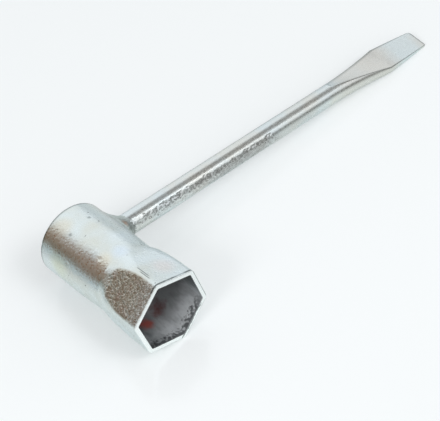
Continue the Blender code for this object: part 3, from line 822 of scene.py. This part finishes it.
# Its lumps, and the ripples that run round the bar
lumps_per_metre = add(lay, MATH, [1.0, size["Lump size"]], operation="DIVIDE")
lumps = add(
    lay, NOISE, {"Vector": spot, "W": size["Seed"], "Scale": lumps_per_metre, "Detail": 1.0},
    noise_dimensions="4D",
)
lumps = add(lay, MATH, [lumps, 0.5], operation="SUBTRACT")
lumps = add(lay, MATH, [lumps, size["Lumps"]], operation="MULTIPLY")
about_bar = add(lay, MATH, [xyz["Z"], xyz["Y"]], operation="ARCTAN2")
ripple = add(lay, MATH, [about_bar, size["Ripples"]], operation="MULTIPLY")
ripple = add(lay, MATH, [ripple], operation="SINE")
heaved = add(lay, MATH, [ripple, size["Ripple"], lumps], operation="MULTIPLY_ADD")
heave = add(lay, VECTOR, {0: add(lay, "GeometryNodeInputNormal"), "Scale": heaved}, operation="SCALE")
weld = add(lay, "GeometryNodeSetPosition", {"Geometry": weld, "Offset": heave})
finished(lay, weld, (plated_weld, True))
weld_bead = shaped("rippled_weld_bead", lay, weld_sizes, WELD_SHARP_EDGE)
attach(weld_bead, "root")
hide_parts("weld_bead")


# Table top. A pale laminated board on which the tool lies and throws its soft shadow. It is stage, not part
# of the tool, but the plating mirrors it, so what glossy rays see of it is toned by place: dim behind the
# bar, where the tool shades it, and brighter in the patches that light the tool's undersides.
TABLE_SIDE = 3.0
BAND_BEHIND = ((20.0 * MM, 30.0 * MM), (60.0 * MM, 45.0 * MM))  # along Y, as between() takes them
BAND_UNDER_BAR = ((8.0 * MM, 13.0 * MM), (26.0 * MM, 18.0 * MM))
BEHIND_FROM = (-32.0 * MM, -22.0 * MM)  # along X
UNDER_FROM = (-45.0 * MM, -38.0 * MM)
SHEENS = [  # middle along X and Y, radius and colour of each mirrored patch
    (-88.0 * MM, 0.0, 60.0 * MM, "#828a87"),
    (-200.0 * MM, 110.0 * MM, 115.0 * MM, "#3a7486"),
    (-30.0 * MM, -10.0 * MM, 24.0 * MM, "#a3aba8"),
    (62.0 * MM, 8.0 * MM, 36.0 * MM, "#8a9490"),
]
SHEEN_EDGE = 0.6  # share of a patch's radius at which it begins to fade

# White table laminate: a smooth pressed melamine face, near white, with a faint gloss
laminate, paint, surface = new_finish("white_table_laminate")
surface["Roughness"].default_value = 0.18
surface["Emission Strength"].default_value = 1.0
place = add(paint, "ShaderNodeTexCoord").outputs["Object"]
xyz = add(paint, "ShaderNodeSeparateXYZ", [place]).outputs
rays = add(paint, "ShaderNodeLightPath").outputs
behind = between(paint, xyz["Y"], *BAND_BEHIND)
past_tube = add(paint, RANGE, [xyz["X"], *BEHIND_FROM, 0.0, 1.0])
behind_bar = add(paint, MATH, [behind, past_tube], operation="MULTIPLY")
dimmed = add(paint, MATH, [behind_bar, rays["Is Glossy Ray"]], operation="MULTIPLY")
paint.links.new(laid_over(paint, "#d2d4d5", [(dimmed, "#a0a3a4")]), surface["Base Color"])
under = between(paint, xyz["Y"], *BAND_UNDER_BAR)
past_weld = add(paint, RANGE, [xyz["X"], *UNDER_FROM, 0.0, 1.0])
coats = [(behind, "#000000"), (add(paint, MATH, [under, past_weld], operation="MULTIPLY"), "#8b9491")]
for middle_x, middle_y, sheen_radius, shade in SHEENS:
    off_sheen = add(paint, VECTOR, [place, (middle_x, middle_y, 0.0)], operation="DISTANCE").outputs["Value"]
    patch = add(
        paint, RANGE, [off_sheen, sheen_radius, SHEEN_EDGE * sheen_radius, 0.0, 1.0],
        interpolation_type="SMOOTHSTEP",
    )
    coats.append((patch, shade))
sheen = laid_over(paint, "#5c6562", coats)
glow = laid_over(paint, "#000000", [(rays["Is Glossy Ray"], sheen), (rays["Is Camera Ray"], "#8b8f90")])
paint.links.new(glow, surface["Emission Color"])

bpy.ops.mesh.primitive_plane_add(size=TABLE_SIDE)
table = bpy.context.object
table.name = "table_top"
table.data.materials.append(laminate)


# Room. Plain soft light from all round, stronger from the front, and a pale backdrop. What the plating
# mirrors is drawn for glossy rays alone, as soft-edged zones: a dark brown cupboard at the left and its
# darker foot, a dim strip of ceiling, a dim corner at the front right and a grey wall at the rear right.
PALE = "#f6f9fb"
MIRRORED_STRENGTH = 1.11
REAR_STRENGTH = 0.2
FRONT_STRENGTH = 1.2
ZONES = [  # direction of each middle, the direction it is long in, half its length and width, and its colour
    ((-0.77, 0.52, 0.32), (-0.33, 0.20, -0.91), 0.80, 0.42, "#806249"),
    ((-0.62, 0.78, 0.04), (0.78, 0.62, 0.0), 0.40, 0.22, "#5e5442"),
    ((0.53, -0.04, 0.84), (1.0, -1.2, 0.0), 0.50, 0.37, "#8a8885"),
    ((0.58, -0.81, 0.00), (1.0, 0.5, 0.0), 0.70, 0.38, "#777875"),
    ((0.80, 0.60, 0.0), (0.6, -0.8, 0.0), 0.36, 0.38, "#c0c6c8"),
]
ZONE_EDGE = 0.7  # share of a zone's reach at which it begins to fade
LAMPS_AWAY = 0.9
LAMPS = {  # direction from the tool, width, height, power, and whether the metal mirrors it
    "softbox": ((0.37, -0.53, 0.74), 0.34, 0.15, 0.25, True),
    "left_window": ((-0.80, -0.24, 0.60), 0.3, 0.25, 1.75, False),
    "right_window": ((0.14, -0.70, 0.80), 0.3, 0.25, 1.65, False),
}

world = bpy.data.worlds.new("room")
bpy.context.scene.world = world
world.use_nodes = True
room = world.node_tree
room.nodes.clear()
towards = add(room, "ShaderNodeTexCoord").outputs["Generated"]
coats = []
for middle, long_way, half_length, half_width, shade in ZONES:
    ahead = Vector(middle).normalized()
    sideways = ahead.cross(Vector(long_way)).normalized()
    turned = Matrix((ahead, sideways.cross(ahead), sideways)).transposed().to_euler()
    in_zone = add(
        room, "ShaderNodeMapping",
        {"Vector": towards, "Location": ahead, "Rotation": turned, "Scale": (1.0, half_length, half_width)},
        vector_type="TEXTURE",
    )
    off_middle = add(room, VECTOR, [in_zone], operation="LENGTH").outputs["Value"]
    zone = add(room, RANGE, [off_middle, 1.0, ZONE_EDGE, 0.0, 1.0], interpolation_type="SMOOTHSTEP")
    coats.append((zone, shade))
mirrored = laid_over(room, PALE, coats)
mirrored = add(room, "ShaderNodeBackground", {"Color": mirrored, "Strength": MIRRORED_STRENGTH})
to_front = add(room, VECTOR, [towards, (0.0, -1.0, 0.0)], operation="DOT_PRODUCT").outputs["Value"]
frontal = add(room, RANGE, [to_front, -1.0, 1.0, REAR_STRENGTH, FRONT_STRENGTH])
soft_light = add(room, "ShaderNodeBackground", {"Color": colour("#ffffff"), "Strength": frontal})
backdrop = add(room, "ShaderNodeBackground", {"Color": colour(PALE), "Strength": 1.0})
rays = add(room, "ShaderNodeLightPath").outputs
shown = add(room, "ShaderNodeMixShader", [rays["Is Glossy Ray"], soft_light, mirrored])
shown = add(room, "ShaderNodeMixShader", [rays["Is Camera Ray"], shown, backdrop])
add(room, "ShaderNodeOutputWorld", [shown])

for name, (lamp_towards, width, height, power, mirrored_too) in LAMPS.items():
    light = bpy.data.lights.new(name, "AREA")
    light.shape = "RECTANGLE"
    light.size = width
    light.size_y = height
    light.energy = power
    lamp = bpy.data.objects.new(name, light)
    lamp.location = Vector(lamp_towards).normalized() * LAMPS_AWAY
    lamp.rotation_euler = Vector(lamp_towards).to_track_quat("Z", "Y").to_euler()
    lamp.visible_glossy = mirrored_too
    bpy.context.scene.collection.objects.link(lamp)


# Camera. It looks down on the tool from the left of the mouth, held a little askew, at the photograph's angle
# and distance.
AIM = Vector((-24.387, 7.054, 0.0)) * MM  # where the camera's axis meets the table
AWAY = 390.24 * MM
AZIMUTH = math.radians(-36.444)
ELEVATION = math.radians(44.522)
ROLL = math.radians(-9.263)
FOCAL_PIXELS = 1200.0
IMAGE_WIDTH = 440.0
SENSOR_WIDTH = 36.0
NEAREST_SEEN = 10.0 * MM

level_back = Vector((math.sin(AZIMUTH), -math.cos(AZIMUTH), 0.0))
back = level_back * math.cos(ELEVATION) + Vector((0.0, 0.0, math.sin(ELEVATION)))
camera = bpy.data.objects.new("camera", bpy.data.cameras.new("camera"))
camera.data.sensor_width = SENSOR_WIDTH
camera.data.lens = FOCAL_PIXELS / IMAGE_WIDTH * SENSOR_WIDTH
camera.data.clip_start = NEAREST_SEEN
camera.rotation_euler = (back.to_track_quat("Z", "Y") @ Quaternion((0.0, 0.0, 1.0), ROLL)).to_euler()
camera.location = AIM + back * AWAY
bpy.context.scene.collection.objects.link(camera)
bpy.context.scene.camera = camera
bpy.context.scene.view_settings.view_transform = "Standard"
